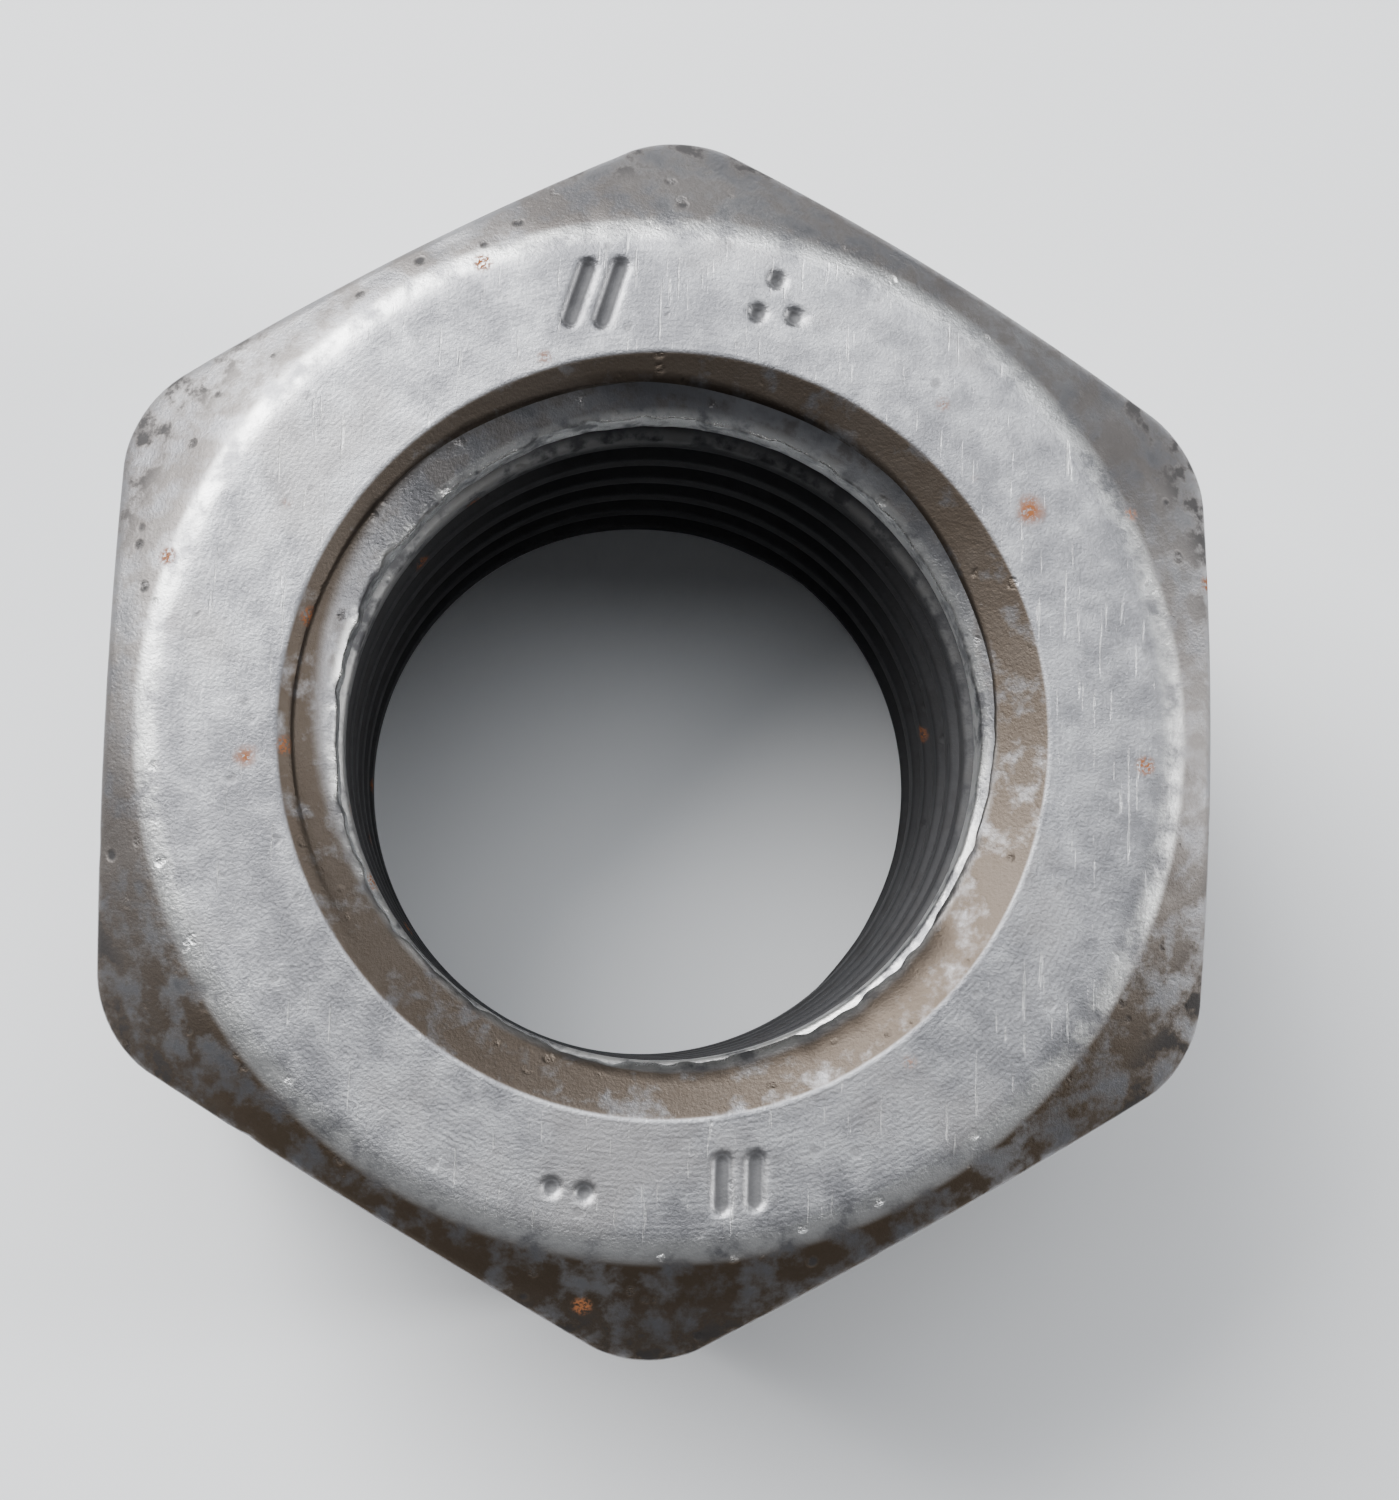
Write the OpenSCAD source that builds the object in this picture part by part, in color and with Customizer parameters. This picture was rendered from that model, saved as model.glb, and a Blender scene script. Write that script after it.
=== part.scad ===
// Hexagon nut with a coarse right-hand internal thread, chamfered on both faces.
// The origin is the centre of the lower bearing face and +Z is the thread axis.
// Two flats face +X and -X, and two upright edges lie on +Y and -Y.

/* [Hexagon] */
// Width across two opposite wrench flats
flats_w = 24; // [21:0.5:30]
// Height between the two bearing faces
nut_h = 14.8; // [10:0.1:20]
// Radius of each upright edge between two flats
edge_r = 2.6; // [0.6:0.1:4]
// How much smaller than the flats each bearing face is, across its diameter
face_step = 1.7; // [0.6:0.1:2.4]
// Slope of the outer chamfer, measured from the bearing face
chamfer_angle = 30; // [15:1:45]

/* [Thread] */
// Nominal outer diameter of the internal thread
thread_d = 16; // [12:0.5:19.2]
// Rise of the thread in one turn
thread_pitch = 2; // [1:0.05:2.4]
// Extra bore diameter over the sharp basic profile, as a tapped hole has
bore_allowance = 0.365; // [0:0.005:0.4]
// Angle about the axis at which the thread groove starts
thread_turn = 81; // [0:1:359]

/* [Countersinks] */
// How much wider than the thread each countersink is at its face
mouth_step = 0.6; // [0.2:0.1:1.6]
// Included angle of each countersink
mouth_angle = 120; // [60:5:120]

/* [Hidden] */

flat_count = 6;
flat_turn = 360 / flat_count;
eps = 0.5;

// Facets in a full turn of each round shape.
edge_facets = 96;
chamfer_facets = 240;
bore_facets = 192;

// Each rounded edge is an arc that crosses its two flats at a small angle.
half_flats = flats_w / 2;
arc_meet_angle = 5;
arc_centre_r = (half_flats - edge_r * cos(arc_meet_angle)) / cos(flat_turn / 2);
edge_reach = arc_centre_r + edge_r;

// Outer chamfer, the same at both faces.
face_r = (flats_w - face_step) / 2;
chamfer_reach = edge_reach + eps;
chamfer_drop = (chamfer_reach - face_r) * tan(chamfer_angle);

// Basic 60 degree thread triangle, cut flat at the root and at the crest.
flank_angle = 30;
triangle_h = thread_pitch / (2 * tan(flank_angle));
root_flat = thread_pitch / 8;
depth_share = 5 / 8;
thread_depth = triangle_h * depth_share;
root_r = thread_d / 2;
bore_r = root_r - thread_depth + bore_allowance / 2;

// Countersinks.
mouth_r = (thread_d + mouth_step) / 2;
mouth_slope = tan(mouth_angle / 2);
mouth_depth = (mouth_r - bore_r) / mouth_slope;

// Thread groove cutter: a helical sweep that starts and ends outside the nut.
groove_inner_r = bore_r - eps / 2;
groove_inner_half = root_flat / 2 + (root_r - groove_inner_r) * tan(flank_angle);
groove_profile = [
    [root_r, root_flat / 2],
    [groove_inner_r, groove_inner_half],
    [groove_inner_r, -groove_inner_half],
    [root_r, -root_flat / 2]
];
profile_count = len(groove_profile);
steps_per_turn = 48;
spare_turns = 2;
groove_turns = ceil(nut_h / thread_pitch) + spare_turns;
groove_steps = groove_turns * steps_per_turn;

function groove_angle(step) = thread_turn + step * 360 / steps_per_turn;
function groove_z(step) = (step / steps_per_turn - 1) * thread_pitch;
function groove_point(step, p) = [
    p[0] * cos(groove_angle(step)),
    p[0] * sin(groove_angle(step)),
    p[1] + groove_z(step)
];
function corner_index(step, corner) = step * profile_count + corner % profile_count;
function skin_triangles(step, corner) = [
    [corner_index(step, corner), corner_index(step, corner + 1), corner_index(step + 1, corner + 1)],
    [corner_index(step, corner), corner_index(step + 1, corner + 1), corner_index(step + 1, corner)]
];

module thread_groove() {
    points = [for (step = [0 : groove_steps], p = groove_profile) groove_point(step, p)];
    skin = [for (step = [0 : groove_steps - 1], corner = [0 : profile_count - 1])
        each skin_triangles(step, corner)];
    first_end = [[0, 3, 2], [0, 2, 1]];
    last = groove_steps * profile_count;
    last_end = [[last, last + 1, last + 2], [last, last + 2, last + 3]];
    polyhedron(points = points, faces = concat(skin, first_end, last_end), convexity = 20);
}

module hexagon_prism() {
    rotate(flat_turn / 2)
        cylinder(h = nut_h, r = half_flats / cos(flat_turn / 2), $fn = flat_count);
}

module edge_cutter() {
    difference() {
        translate([arc_centre_r + edge_r * cos(flat_turn / 2), -edge_r, -eps])
            cube([edge_r, 2 * edge_r, nut_h + 2 * eps]);
        translate([arc_centre_r, 0, -2 * eps])
            cylinder(h = nut_h + 4 * eps, r = edge_r, $fn = edge_facets);
    }
}

module chamfer_envelope() {
    rotate_extrude($fn = chamfer_facets)
        polygon([
            [0, 0],
            [face_r, 0],
            [chamfer_reach, chamfer_drop],
            [chamfer_reach, nut_h - chamfer_drop],
            [face_r, nut_h],
            [0, nut_h]
        ]);
}

module bore_and_mouths() {
    outer_mouth_r = mouth_r + eps * mouth_slope;
    rotate_extrude($fn = bore_facets)
        polygon([
            [0, -eps],
            [outer_mouth_r, -eps],
            [bore_r, mouth_depth],
            [bore_r, nut_h - mouth_depth],
            [outer_mouth_r, nut_h + eps],
            [0, nut_h + eps]
        ]);
}

module hex_nut() {
    color("silver")
        difference() {
            intersection() {
                hexagon_prism();
                chamfer_envelope();
            }
            for (turn = [flat_turn / 2 : flat_turn : 360])
                rotate(turn)
                    edge_cutter();
            bore_and_mouths();
            thread_groove();
        }
}

hex_nut();
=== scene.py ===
import math

import bpy
import numpy as np
from mathutils import Matrix, Vector


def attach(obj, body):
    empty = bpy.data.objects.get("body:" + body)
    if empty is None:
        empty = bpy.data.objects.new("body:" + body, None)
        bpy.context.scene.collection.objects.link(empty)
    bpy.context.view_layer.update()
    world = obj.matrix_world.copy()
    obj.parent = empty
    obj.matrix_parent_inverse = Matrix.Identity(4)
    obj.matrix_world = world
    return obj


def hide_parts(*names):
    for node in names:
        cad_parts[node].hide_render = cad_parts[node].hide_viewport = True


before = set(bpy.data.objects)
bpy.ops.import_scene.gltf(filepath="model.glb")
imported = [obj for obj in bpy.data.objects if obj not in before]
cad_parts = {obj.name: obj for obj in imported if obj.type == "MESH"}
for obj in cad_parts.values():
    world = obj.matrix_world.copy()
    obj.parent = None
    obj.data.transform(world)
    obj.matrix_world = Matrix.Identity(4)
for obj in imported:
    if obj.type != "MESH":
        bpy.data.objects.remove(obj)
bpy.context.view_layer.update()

# ---------------------------------------------------------------- sizes, in mm
FLATS_W = 24.0
NUT_H = 14.8
EDGE_R = 2.6
ARC_MEET = math.radians(5)
FACE_R = 11.15
CHAMFER_ANGLE = math.radians(30)
CHAMFER_SLOPE = math.tan(CHAMFER_ANGLE)
ROOT_R = 8.0
PITCH = 2.0
BORE_R = 7.1
THREAD_TURN = 81.0
MOUTH_R = 8.3
MOUTH_SLOPE = math.tan(math.radians(60))
SHOULDER = 0.55
MM = 0.001


def smooth_max(a, b, width):
    """The larger of a and b, with the corner where they cross rounded over width."""
    gap = np.maximum(width - np.abs(a - b), 0) / width
    return np.maximum(a, b) + gap * gap * width * 0.25


def smooth_min(a, b, width):
    return -smooth_max(-a, -b, width)


def hexagon_radius(angle):
    """Distance from the axis to the side wall, flats on +X and -X, arcs on the upright edges."""
    half = FLATS_W / 2
    t = np.abs((np.degrees(angle) + 30) % 60 - 30)
    tr = np.radians(t)
    centre = (half - EDGE_R * math.cos(ARC_MEET)) / math.cos(math.radians(30))
    cx, cy = centre * math.cos(math.radians(30)), centre * math.sin(math.radians(30))
    flat = half / np.cos(tr)
    b = np.cos(tr) * cx + np.sin(tr) * cy
    arc = b + np.sqrt(np.maximum(b * b - (cx * cx + cy * cy - EDGE_R * EDGE_R), 0))
    return np.where(half * np.tan(tr) <= cy + EDGE_R * math.sin(ARC_MEET), flat, arc)


def thread_radius(angle, z):
    """Radius of the threaded wall, before the countersinks."""
    phase = z / PITCH - (np.degrees(angle) - THREAD_TURN) / 360
    d = np.abs((phase + 0.5) % 1 - 0.5) * PITCH
    flank = ROOT_R - (d - PITCH / 16) / math.tan(math.radians(30))
    r = smooth_min(flank, np.full_like(flank, ROOT_R), 0.10)
    return smooth_max(r, BORE_R + crest_wear(angle, z), 0.09)


def wall_radius(angle, z):
    depth = np.minimum(z, NUT_H - z)
    cone = MOUTH_R - depth * MOUTH_SLOPE
    return smooth_max(thread_radius(angle, z), cone, 0.06)


# ---------------------------------------------------------------- marks, dents and wear
# Generic stamped strokes on the upper face, as start and end in mm; a dot starts where it ends.
STROKES = [
    ((-2.35, 8.95), (-2.00, 10.10)),
    ((-1.65, 8.95), (-1.30, 10.15)),
    ((1.75, 9.25), (1.75, 9.25)),
    ((2.55, 9.20), (2.55, 9.20)),
    ((2.15, 10.00), (2.15, 10.00)),
    ((-2.15, -9.75), (-2.15, -9.75)),
    ((-1.45, -9.85), (-1.45, -9.85)),
    ((1.45, -9.15), (1.45, -10.05)),
    ((2.15, -9.10), (2.15, -9.95)),
]
STROKE_HALF = 0.16
STROKE_SOFT = 0.10
STROKE_DEPTH = 0.12


def stamped_depth(x, y):
    """How far the stamped strokes sink the upper face at x, y."""
    near = np.full(np.shape(x), 99.0)
    for (ax, ay), (bx, by) in STROKES:
        dx, dy = bx - ax, by - ay
        length = dx * dx + dy * dy
        t = 0.0 if length == 0 else np.clip(((x - ax) * dx + (y - ay) * dy) / length, 0, 1)
        near = np.minimum(near, np.hypot(x - ax - t * dx, y - ay - t * dy))
    t = np.clip((STROKE_HALF + STROKE_SOFT - near) / (2 * STROKE_SOFT), 0, 1)
    return STROKE_DEPTH * t * t * (3 - 2 * t)


DENT_SEED = 16
DENT_COUNT = 46
DENT_SIZES = (0.25, 0.75)
DENT_DEPTHS = (0.02, 0.09)


def sink_dents(points):
    """Small knocks along the chamfers and upright edges, pushed in towards the body."""
    rng = np.random.default_rng(DENT_SEED)
    for k in range(DENT_COUNT):
        upper = k % 3 != 0
        angle = math.radians(rng.uniform(0, 360))
        reach = float(hexagon_radius(np.array([angle]))[0])
        radius = rng.uniform(FACE_R - 0.1, reach)
        drop = (radius - FACE_R) * CHAMFER_SLOPE
        z = NUT_H - drop if upper else drop
        centre = np.array([radius * math.cos(angle), radius * math.sin(angle), z])
        size = rng.uniform(*DENT_SIZES)
        depth = rng.uniform(*DENT_DEPTHS)
        gap = np.linalg.norm(points - centre, axis=1)
        pull = np.clip(1 - gap / size, 0, 1) ** 2 * depth
        inward = np.array([0, 0, NUT_H / 2]) - centre
        points += pull[:, None] * inward / np.linalg.norm(inward)
    return points


WEAR_STEP = 0.040
WEAR_END = 2.4
WEAR_FADE = 1.2


def crest_wear(angle, z):
    """How far the crest nearest the upper face is worn back, uneven around the bore."""
    rough = (
        np.sin(angle * 7 + 1.3)
        + 0.8 * np.sin(angle * 17 + 0.4)
        + 0.7 * np.sin(angle * 41 + 2.1)
        + 0.5 * np.sin(angle * 73)
    )
    depth = NUT_H - z
    fade = np.clip((WEAR_END - depth) / WEAR_FADE, 0, 1)
    return WEAR_STEP * np.clip(rough + 1.0, 0, 4) * fade


# ---------------------------------------------------------------- mesh
MARK_ANGLES = (90, 270)
MARK_SPREAD = 17
FINE_STEP, COARSE_STEP = 0.5, 1.0


def around():
    """Angles of the columns: closer together where the stamped marks are."""
    steps = []
    a = 0.0
    while a < 360 - 1e-6:
        steps.append(a)
        near = min(abs(a - mark) for mark in MARK_ANGLES)
        a += FINE_STEP if near < MARK_SPREAD else COARSE_STEP
    return np.radians(np.array(steps))


def thread_lines():
    """Heights within one pitch where the wall needs an edge, as shares of the pitch."""
    root = 1 / 16
    crest = root + (ROOT_R - BORE_R) * math.tan(math.radians(30)) / PITCH
    half = [
        0,
        root - 0.012,
        root + 0.020,
        root + 0.075,
        (root + crest) / 2,
        crest - 0.060,
        crest - 0.022,
        crest,
        crest + 0.022,
        crest + 0.075,
    ]
    return np.array(sorted([-h for h in half[1:]] + half + [0.5]))


class Builder:
    def __init__(self):
        self.points, self.faces, self.count = [], [], 0

    def add(self, pts):
        pts = np.asarray(pts, float).reshape(-1, 3)
        first = self.count
        self.points.append(pts)
        self.count += len(pts)
        return np.arange(first, self.count)


def ring(build, angles, radius, z):
    radius = np.broadcast_to(radius, angles.shape)
    z = np.broadcast_to(z, angles.shape)
    return build.add(np.c_[radius * np.cos(angles), radius * np.sin(angles), z])


def join_rings(build, a, b):
    """Quads between two rings, a then b going out of the bore, over the top, down and back."""
    n = len(a)
    for i in range(n):
        j = (i + 1) % n
        build.faces.append((a[i], a[j], b[j], b[i]))


WALL_LOW, WALL_HIGH = 0.16, NUT_H - 0.16


def thread_wall(build, angles):
    """The threaded wall between two level rings, with its edges running along the helix."""
    shares = thread_lines()
    shares = shares[shares < 0.4999999]
    per = len(shares)
    n = len(angles)
    columns = []
    for i, angle in enumerate(angles):
        lift = (math.degrees(angle) - THREAD_TURN) / 360
        rows = []
        for turn in range(-2, int(NUT_H / PITCH) + 3):
            for c, s in enumerate(shares):
                z = (turn + s + lift) * PITCH
                if WALL_LOW + 0.02 < z < WALL_HIGH - 0.02:
                    rows.append((turn * per + c, z))
        rows.sort(key=lambda row: row[1])
        zs = np.array([row[1] for row in rows])
        keys = [row[0] for row in rows]
        r = wall_radius(np.full(len(zs), angle), zs)
        ids = build.add(np.c_[r * math.cos(angle), r * math.sin(angle), zs])
        columns.append((keys, ids))
    low = ring(build, angles, wall_radius(angles, np.full(n, WALL_LOW)), WALL_LOW)
    high = ring(build, angles, wall_radius(angles, np.full(n, WALL_HIGH)), WALL_HIGH)
    for i in range(n):
        j = (i + 1) % n
        keys_a, ids_a = columns[i]
        keys_b, ids_b = columns[j]
        if j == 0:
            keys_b = [k - per for k in keys_b]
        place_b = {k: p for p, k in enumerate(keys_b)}
        shared = [k for k in keys_a if k in place_b]
        a = dict(zip(keys_a, ids_a))
        b = dict(zip(keys_b, ids_b))
        for k, m in zip(shared, shared[1:]):
            build.faces.append((a[k], b[k], b[m], a[m]))
        first, last = shared[0], shared[-1]
        below_a = [a[k] for k in keys_a if k < first]
        below_b = [b[k] for k in keys_b if k < first]
        above_a = [a[k] for k in keys_a if k > last]
        above_b = [b[k] for k in keys_b if k > last]
        build.faces.append((low[i], low[j], *below_b, b[first], a[first], *below_a[::-1]))
        build.faces.append((a[last], b[last], *above_b, high[j], high[i], *above_a[::-1]))
    return low, high


FACE_ROWS_UPPER, FACE_ROWS_LOWER = 30, 7
SHOULDER_ROWS = 6
CHAMFER_ROWS_UPPER, CHAMFER_ROWS_LOWER = 6, 4
SIDE_ROWS = 9


def shoulder_point(t):
    """Distance from the axis and from the face, at share t of the rounded shoulder."""
    a = t * CHAMFER_ANGLE
    radius = SHOULDER / math.tan(CHAMFER_ANGLE / 2)
    return FACE_R - SHOULDER + radius * math.sin(a), radius * (1 - math.cos(a))


def nut_mesh():
    build = Builder()
    angles = around()
    low, high = thread_wall(build, angles)
    hexr = hexagon_radius(angles)
    rings = [high]

    def add(radius, z):
        rings.append(ring(build, angles, radius, z))

    edge = 0.05
    for depth in (0.10, 0.05, 0.02):
        add(wall_radius(angles, NUT_H - depth), NUT_H - depth)
    add(MOUTH_R + edge * 0.6, NUT_H)
    for r in np.linspace(MOUTH_R + 0.10, FACE_R - SHOULDER - 0.07, FACE_ROWS_UPPER):
        add(r, NUT_H - stamped_depth(r * np.cos(angles), r * np.sin(angles)))
    # rounded shoulder between the bearing face and the chamfer
    for t in np.linspace(0, 1, SHOULDER_ROWS):
        out, down = shoulder_point(t)
        add(out, NUT_H - down)
    blend = 0.12
    start = FACE_R + 0.52
    for t in np.linspace(0.2, 1, CHAMFER_ROWS_UPPER):
        r = start + (hexr - blend - start) * t
        add(r, NUT_H - (r - FACE_R) * CHAMFER_SLOPE)
    top = NUT_H - (hexr - FACE_R) * CHAMFER_SLOPE
    add(hexr - blend * 0.35, top - blend * 0.02)
    add(hexr - blend * 0.05, top - blend * 0.35)
    add(hexr, top - blend)
    for t in np.linspace(0, 1, SIDE_ROWS)[1:-1]:
        add(hexr, (top - blend) + t * (NUT_H - 2 * top + 2 * blend))
    bottom = NUT_H - top
    add(hexr, bottom + blend)
    add(hexr - blend * 0.05, bottom + blend * 0.35)
    add(hexr - blend * 0.35, bottom + blend * 0.02)
    for t in np.linspace(1, 0.2, CHAMFER_ROWS_LOWER):
        r = start + (hexr - blend - start) * t
        add(r, (r - FACE_R) * CHAMFER_SLOPE)
    for t in np.linspace(1, 0, SHOULDER_ROWS):
        add(*shoulder_point(t))
    for r in np.linspace(FACE_R - SHOULDER - 0.07, MOUTH_R + 0.10, FACE_ROWS_LOWER):
        add(r, 0)
    add(MOUTH_R + edge * 0.6, 0)
    for depth in (0.02, 0.05, 0.10):
        add(wall_radius(angles, depth), depth)
    rings.append(low)
    for a, b in zip(rings, rings[1:]):
        join_rings(build, a, b)
    points = sink_dents(np.vstack(build.points)) * MM
    mesh = bpy.data.meshes.new("hex_nut_worn")
    # the rings run over the top and down, so each face is turned to look outwards
    outward = [face[::-1] for face in build.faces]
    mesh.from_pydata(points.tolist(), [], outward)
    mesh.update()
    for polygon in mesh.polygons:
        polygon.use_smooth = True
    nut = bpy.data.objects.new("hex_nut_worn", mesh)
    bpy.context.scene.collection.objects.link(nut)
    return nut


nut = nut_mesh()
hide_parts("hex_nut")
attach(nut, "root")


# ---------------------------------------------------------------- materials
class Nodes:
    """Short ways of adding shader nodes to one material."""

    def __init__(self, material):
        material.use_nodes = True
        self.tree = material.node_tree
        self.shader = self.tree.nodes["Principled BSDF"]

    def put(self, socket, value):
        if isinstance(value, bpy.types.NodeSocket):
            self.tree.links.new(value, socket)
        else:
            socket.default_value = value

    def math(self, kind, a, b=0.0, clamp=False):
        node = self.tree.nodes.new("ShaderNodeMath")
        node.operation = kind
        node.use_clamp = clamp
        self.put(node.inputs[0], a)
        self.put(node.inputs[1], b)
        return node.outputs[0]

    def times(self, *values):
        out = values[0]
        for value in values[1:]:
            out = self.math("MULTIPLY", out, value)
        return out

    def either(self, *values):
        out = values[0]
        for value in values[1:]:
            out = self.math("MAXIMUM", out, value)
        return out

    def less(self, value):
        return self.math("SUBTRACT", 1.0, value, clamp=True)

    def step(self, value, start, end):
        """0 at start and 1 at end, smooth between; start may be the larger."""
        node = self.tree.nodes.new("ShaderNodeMapRange")
        node.interpolation_type = "SMOOTHSTEP"
        self.put(node.inputs["Value"], value)
        if start < end:
            node.inputs["From Min"].default_value = start
            node.inputs["From Max"].default_value = end
            return node.outputs[0]
        node.inputs["From Min"].default_value = end
        node.inputs["From Max"].default_value = start
        return self.less(node.outputs[0])

    def stretch(self, vector, scale):
        node = self.tree.nodes.new("ShaderNodeVectorMath")
        node.operation = "MULTIPLY"
        self.put(node.inputs[0], vector)
        node.inputs[1].default_value = scale
        return node.outputs[0]

    def noise(self, vector, scale, detail=4.0, rough=0.55):
        node = self.tree.nodes.new("ShaderNodeTexNoise")
        self.put(node.inputs["Vector"], vector)
        node.inputs["Scale"].default_value = scale
        node.inputs["Detail"].default_value = detail
        node.inputs["Roughness"].default_value = rough
        return node.outputs["Fac"]

    def specks(self, vector, scale, size):
        """Round spots, 1 in the middle of each and 0 outside."""
        node = self.tree.nodes.new("ShaderNodeTexVoronoi")
        self.put(node.inputs["Vector"], vector)
        node.inputs["Scale"].default_value = scale
        return self.step(node.outputs["Distance"], size, size * 0.4)

    def blend(self, amount, a, b):
        node = self.tree.nodes.new("ShaderNodeMix")
        node.data_type = "RGBA"
        self.put(node.inputs[0], amount)
        self.put(node.inputs[6], a)
        self.put(node.inputs[7], b)
        return node.outputs[2]

    def level(self, amount, a, b):
        node = self.tree.nodes.new("ShaderNodeMix")
        node.data_type = "FLOAT"
        self.put(node.inputs[0], amount)
        self.put(node.inputs[2], a)
        self.put(node.inputs[3], b)
        return node.outputs[0]


STEEL_LIGHT = (0.43, 0.43, 0.44, 1)
STEEL_DARK = (0.21, 0.21, 0.22, 1)
# Brown tarnish colour, also used as painted shade on the -Y chamfers.
TARNISH_AND_SHADE_COLOUR = (0.088, 0.066, 0.047, 1)
# Near-black colour for pits, corners and stamped strokes, also used as painted shade over the
# deep bore.
GRIME_AND_SHADE_COLOUR = (0.018, 0.018, 0.020, 1)
BARE = (0.82, 0.82, 0.80, 1)
RUST = (0.25, 0.085, 0.025, 1)
BUMP_DEPTH = 0.02
# Rust patches on the upper side: place in mm, then size.
RUST_PATCHES = [((7.8, 5.1, 14.8), 0.55), ((-8.9, -0.9, 14.8), 0.40)]


def steel():
    material = bpy.data.materials.new("worn_steel")
    n = Nodes(material)
    coord = n.tree.nodes.new("ShaderNodeTexCoord").outputs["Object"]
    mm = n.stretch(coord, (1000, 1000, 1000))
    split = n.tree.nodes.new("ShaderNodeSeparateXYZ")
    n.put(split.inputs[0], mm)
    x, y, z = split.outputs
    radius = n.math("SQRT", n.math("ADD", n.times(x, x), n.times(y, y)))
    half = NUT_H / 2
    from_middle = n.math("ABSOLUTE", n.math("SUBTRACT", z, half))
    depth = n.math("SUBTRACT", half, from_middle)
    normal = n.tree.nodes.new("ShaderNodeSeparateXYZ")
    n.put(normal.inputs[0], n.tree.nodes.new("ShaderNodeNewGeometry").outputs["Normal"])
    upright = n.math("ABSOLUTE", normal.outputs[2])

    # where each kind of surface is
    ring_area = n.times(
        n.step(radius, MOUTH_R, MOUTH_R + 0.12),
        n.step(radius, FACE_R, FACE_R - 0.4),
    )
    face = n.times(ring_area, n.step(depth, 0.06, 0.01))
    stamped = n.times(ring_area, n.step(depth, 0.03, 0.10))
    outside = n.step(radius, FACE_R - 0.1, FACE_R + 0.25)
    chamfer = n.times(outside, n.step(upright, 0.45, 0.70))
    side = n.times(outside, n.step(upright, 0.70, 0.45))
    bore = n.step(radius, MOUTH_R + 0.03, MOUTH_R - 0.05)
    cone = n.times(bore, n.step(depth, 0.80, 0.55))
    thread = n.times(bore, n.step(depth, 0.55, 0.80))
    # Painted shade: the bore is darkened to near-black from 1.6 mm to 4.2 mm below the upper
    # face, and stays dark down to and including the lower countersink, standing in for the shade
    # inside the hole.
    bore_shade_mask = n.times(bore, n.step(z, NUT_H - 1.6, NUT_H - 4.2))
    crest = n.times(thread, n.step(radius, BORE_R + 0.30, BORE_R + 0.06))

    # detail, from coarse to fine
    cloud = n.noise(mm, 0.28)
    mottle = n.noise(mm, 1.3, 6.0, 0.62)
    grain = n.noise(mm, 14.0, 5.0, 0.65)
    drag = n.noise(n.stretch(mm, (9.0, 0.55, 1.0)), 1.0, 3.0)
    scratch = n.times(n.step(drag, 0.64, 0.72), face)
    drawn = n.noise(n.stretch(mm, (1.2, 1.2, 9.0)), 1.0, 4.0)
    turned = n.times(n.math("SINE", n.times(radius, 46.0)), face)
    pits = n.times(n.specks(mm, 1.5, 0.26), n.step(mottle, 0.50, 0.62))
    corner = n.times(chamfer, n.step(radius, 12.0, 12.9))

    rust = n.times(n.specks(mm, 0.42, 0.12), n.step(grain, 0.42, 0.56))
    for (px, py, pz), size in RUST_PATCHES:
        gap = n.tree.nodes.new("ShaderNodeVectorMath")
        gap.operation = "DISTANCE"
        n.put(gap.inputs[0], mm)
        gap.inputs[1].default_value = (px, py, pz)
        ragged = n.math("ADD", gap.outputs["Value"], n.times(mottle, size))
        patch = n.times(n.step(ragged, size * 1.3, size * 0.6), n.step(grain, 0.35, 0.5))
        rust = n.either(rust, patch)

    patches = n.math("ADD", n.times(cloud, 0.5), n.times(mottle, 0.5))
    colour = n.blend(n.step(patches, 0.38, 0.62), STEEL_DARK, STEEL_LIGHT)
    # Brown mix: mottled tarnish on the countersinks, chamfers, sides, face and thread, plus
    # painted shade that makes the chamfer tarnish heavier towards -Y, on the side turned away
    # from the lamps.
    tarnish_and_painted_shade = n.either(
        n.times(chamfer, n.step(mottle, 0.30, 0.56), n.step(y, 9.0, -9.0), 1.0),
        n.times(chamfer, n.step(mottle, 0.36, 0.60), 0.62),
        n.times(cone, n.step(mottle, 0.25, 0.50), 0.92),
        n.times(side, n.step(drawn, 0.42, 0.62), 0.55),
        n.times(face, n.step(cloud, 0.52, 0.68), 0.30),
        n.times(thread, n.step(mottle, 0.45, 0.62), 0.55),
    )
    colour = n.blend(tarnish_and_painted_shade, colour, TARNISH_AND_SHADE_COLOUR)
    # Near-black mix: real pits and dark mottled corners, darker stamped strokes, and painted
    # shade over the deep bore.
    grime_and_painted_shade = n.either(
        n.times(stamped, 0.75),
        n.times(bore_shade_mask, 0.94),
        n.times(corner, n.step(mottle, 0.50, 0.60), 0.8),
        n.times(pits, n.either(chamfer, side), 0.85),
        n.times(pits, face, 0.35),
    )
    colour = n.blend(grime_and_painted_shade, colour, GRIME_AND_SHADE_COLOUR)
    bare = n.either(
        n.times(crest, n.less(bore_shade_mask), n.step(mottle, 0.38, 0.55), 0.85),
        n.times(scratch, 0.22),
        n.times(
            n.step(radius, FACE_R - 0.45, FACE_R - 0.15),
            n.step(radius, FACE_R + 0.25, FACE_R),
            n.step(mottle, 0.35, 0.6),
            0.6,
        ),
    )
    colour = n.blend(bare, colour, BARE)
    colour = n.blend(rust, colour, RUST)
    n.put(n.shader.inputs["Base Color"], colour)

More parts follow.
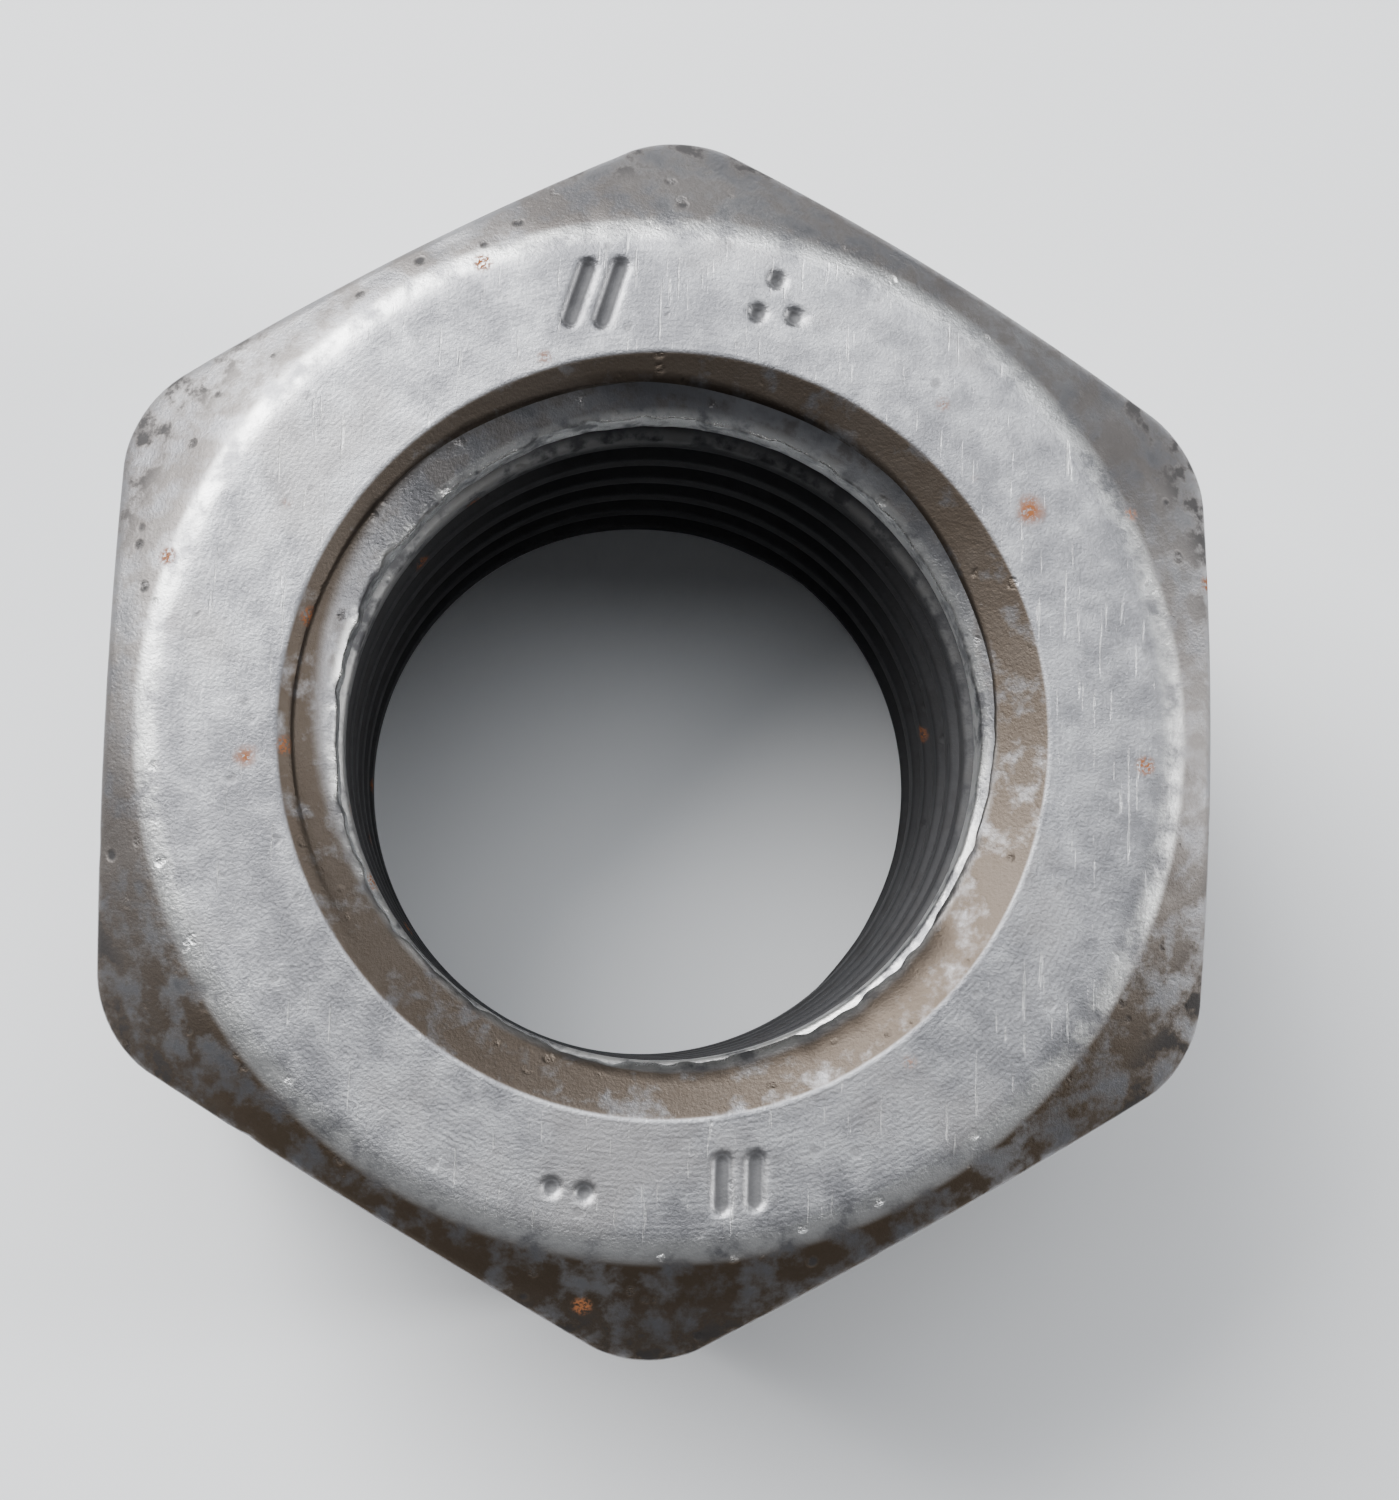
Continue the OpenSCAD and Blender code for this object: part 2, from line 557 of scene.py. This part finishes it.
    metal = n.times(n.less(n.times(rust, 0.9)), n.less(n.times(grime_and_painted_shade, 0.6)), 0.95)
    n.put(n.shader.inputs["Metallic"], metal)
    gloss = n.math("ADD", 0.26, n.times(grain, 0.20))
    gloss = n.level(tarnish_and_painted_shade, gloss, 0.52)
    gloss = n.level(grime_and_painted_shade, gloss, 0.70)
    gloss = n.level(bare, gloss, 0.24)
    n.put(n.shader.inputs["Roughness"], n.level(rust, gloss, 0.85))

    height = n.math("ADD", n.times(grain, 0.55), n.times(mottle, 0.8))
    height = n.math("SUBTRACT", height, n.times(scratch, 0.35))
    height = n.math("ADD", height, n.times(turned, 0.022))
    height = n.math("SUBTRACT", height, n.times(pits, n.level(face, 1.2, 0.4)))
    height = n.math("ADD", height, n.times(side, drawn, 0.8))
    bump = n.tree.nodes.new("ShaderNodeBump")
    bump.inputs["Strength"].default_value = 1.0
    bump.inputs["Distance"].default_value = BUMP_DEPTH * MM
    n.put(bump.inputs["Height"], height)
    n.put(n.shader.inputs["Normal"], bump.outputs[0])
    return material


nut.data.materials.append(steel())


# ---------------------------------------------------------------- floor, light, camera
def floor():
    mesh = bpy.data.meshes.new("floor")
    size = 3.0
    mesh.from_pydata(
        [(-size, -size, 0), (size, -size, 0), (size, size, 0), (-size, size, 0)],
        [],
        [(0, 1, 2, 3)],
    )
    item = bpy.data.objects.new("floor", mesh)
    bpy.context.scene.collection.objects.link(item)
    material = bpy.data.materials.new("pale_floor")
    material.use_nodes = True
    shader = material.node_tree.nodes["Principled BSDF"]
    shader.inputs["Base Color"].default_value = (0.84, 0.85, 0.86, 1)
    shader.inputs["Roughness"].default_value = 0.8
    item.data.materials.append(material)


floor()


def area_light(name, place, target, size, power, colour=(1, 1, 1)):
    data = bpy.data.lights.new(name, "AREA")
    data.shape = "RECTANGLE"
    data.size, data.size_y = size
    data.energy = power
    data.color = colour
    item = bpy.data.objects.new(name, data)
    away = np.array(place) - np.array(target)
    away = away / np.linalg.norm(away)
    item.rotation_euler = Vector(away).to_track_quat("Z", "Y").to_euler()
    item.location = place
    bpy.context.scene.collection.objects.link(item)


area_light("key", (-0.17, 0.17, 0.22), (0, 0, 0), (0.22, 0.22), 2.3)
area_light("top", (0.00, 0.13, 0.34), (0, 0, 0), (0.30, 0.20), 0.75, (0.93, 0.96, 1.0))
area_light("right", (0.30, 0.02, 0.16), (0, 0, 0), (0.06, 0.25), 0.6)

WORLD_COLOUR = (0.9, 0.93, 1.0, 1)
WORLD_STRENGTH = 0.16

world = bpy.data.worlds.new("studio")
bpy.context.scene.world = world
world.use_nodes = True
background = world.node_tree.nodes["Background"]
background.inputs["Color"].default_value = WORLD_COLOUR
background.inputs["Strength"].default_value = WORLD_STRENGTH


# The camera looks down at the upper face: place and lens in mm, turns in radians.
CAMERA_PLACE = (-2.558, -6.208, 68.35)
CAMERA_TURNS = (-0.1075, 0.06119, -0.02737)
SENSOR_WIDTH = 36
LENS_LENGTH = 64.717655


def camera():
    place = np.array(CAMERA_PLACE) * MM
    ax, ay, rz = CAMERA_TURNS
    tilt_x = Matrix.Rotation(ax, 4, "X")
    tilt_y = Matrix.Rotation(ay, 4, "Y")
    roll = Matrix.Rotation(rz, 4, "Z")
    data = bpy.data.cameras.new("camera")
    data.sensor_fit = "HORIZONTAL"
    data.sensor_width = SENSOR_WIDTH
    data.lens = LENS_LENGTH
    data.clip_start = 0.005
    data.clip_end = 20
    item = bpy.data.objects.new("camera", data)
    item.matrix_world = Matrix.Translation(place) @ (roll @ tilt_x @ tilt_y).transposed()
    bpy.context.scene.collection.objects.link(item)
    bpy.context.scene.camera = item


camera()
